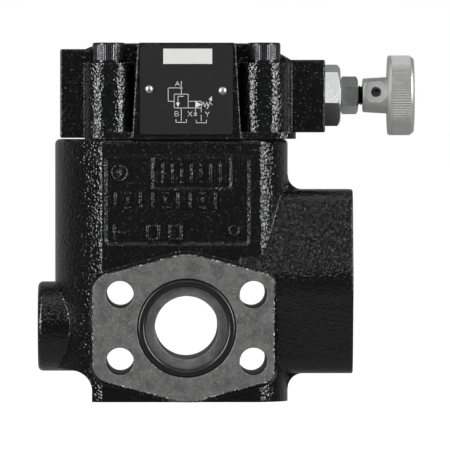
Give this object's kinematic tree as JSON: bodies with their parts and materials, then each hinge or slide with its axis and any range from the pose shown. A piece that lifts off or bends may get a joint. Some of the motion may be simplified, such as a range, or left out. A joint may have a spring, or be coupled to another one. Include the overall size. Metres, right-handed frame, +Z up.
{
  "type": "pilot operated relief valve",
  "caption": "Pilot-operated relief valve: cast body with a straight-through flange port, a side flange port, and a bolted pilot head set by a knurled knob.",
  "frame": {"origin": "on the flat base face, under the main poppet axis, midway between the two faces of port A", "axes": "+Z up the main poppet axis, +X towards the knob and port B, -Y out of the front face of port A"},
  "size_m": [0.1488, 0.06, 0.1413],
  "materials": {
    "black_enamel": "glossy black enamel on rough casting",
    "hardened_steel": "ground and hardened",
    "spring_steel": "shot-peened spring wire",
    "free_cutting_steel": "turned",
    "brass_jet": "turned",
    "nitrile_rubber": "moulded, oiled",
    "black_oxide_steel": "black oxide, oiled",
    "zinc_plated_steel": "zinc plated",
    "knob_casting": "matte die casting with straight knurl",
    "anodised_plate": "dark anodised, matte",
    "rivet_steel": "bright"
  },
  "bodies": {
    "valve": {"main_body": "black_enamel", "pilot_head": "black_enamel", "main_sleeve": "hardened_steel", "pilot_seat": "hardened_steel", "locating_pin": "hardened_steel", "main_spring": "spring_steel", "pilot_spring": "spring_steel", "supply_jet": "brass_jet", "damping_jet": "brass_jet", "sleeve_nose_seal": "nitrile_rubber", "sleeve_upper_seal": "nitrile_rubber", "chamber_seal": "nitrile_rubber", "passage_seals": "nitrile_rubber", "port_a_seal": "nitrile_rubber", "bonnet_seal": "nitrile_rubber", "gauge_plug_seal": "nitrile_rubber", "cap_screws": "black_oxide_steel", "bonnet": "zinc_plated_steel", "gauge_port_plug": "zinc_plated_steel", "gallery_plug": "zinc_plated_steel", "nameplate": "anodised_plate", "nameplate_rivets": "rivet_steel"},
    "poppet": {"main_poppet": "hardened_steel"},
    "cone": {"pilot_cone": "hardened_steel"},
    "plunger": {"spring_plunger": "free_cutting_steel", "plunger_seal": "nitrile_rubber"},
    "adjuster": {"adjusting_spindle": "black_oxide_steel", "knob": "knob_casting", "knob_set_screw": "black_oxide_steel"},
    "nut": {"lock_nut": "zinc_plated_steel"}
  },
  "joints": [
    {"name": "poppet_lift", "type": "slide", "parent": "valve", "child": "poppet", "axis": [0, 0, 1], "range_m": [0, 0.006], "stiffness_N_per_m": 4000, "springref_m": -0.003, "deforming": ["main_spring"]},
    {"name": "cone_lift", "type": "slide", "parent": "valve", "child": "cone", "axis": [1, 0, 0], "range_m": [0, 0.001], "stiffness_N_per_m": 6000, "springref_m": -0.002, "deforming": ["pilot_spring"]},
    {"name": "plunger_slide", "type": "slide", "parent": "valve", "child": "plunger", "axis": [1, 0, 0], "range_m": [-0.0015, 0.003]},
    {"name": "adjuster_turn", "type": "hinge", "parent": "plunger", "child": "adjuster", "pos_m": [0.08, 0, 0.1207], "axis": [1, 0, 0], "range_deg": [-544.3, 1088.6]},
    {"name": "nut_turn", "type": "hinge", "parent": "valve", "child": "nut", "pos_m": [0.0645, 0, 0.1207], "axis": [1, 0, 0], "range_deg": [0, 360]}
  ],
  "couplings": [
    {"joint": "adjuster_turn", "follows": "plunger_slide", "rad_per_m": 6283.2}
  ]
}
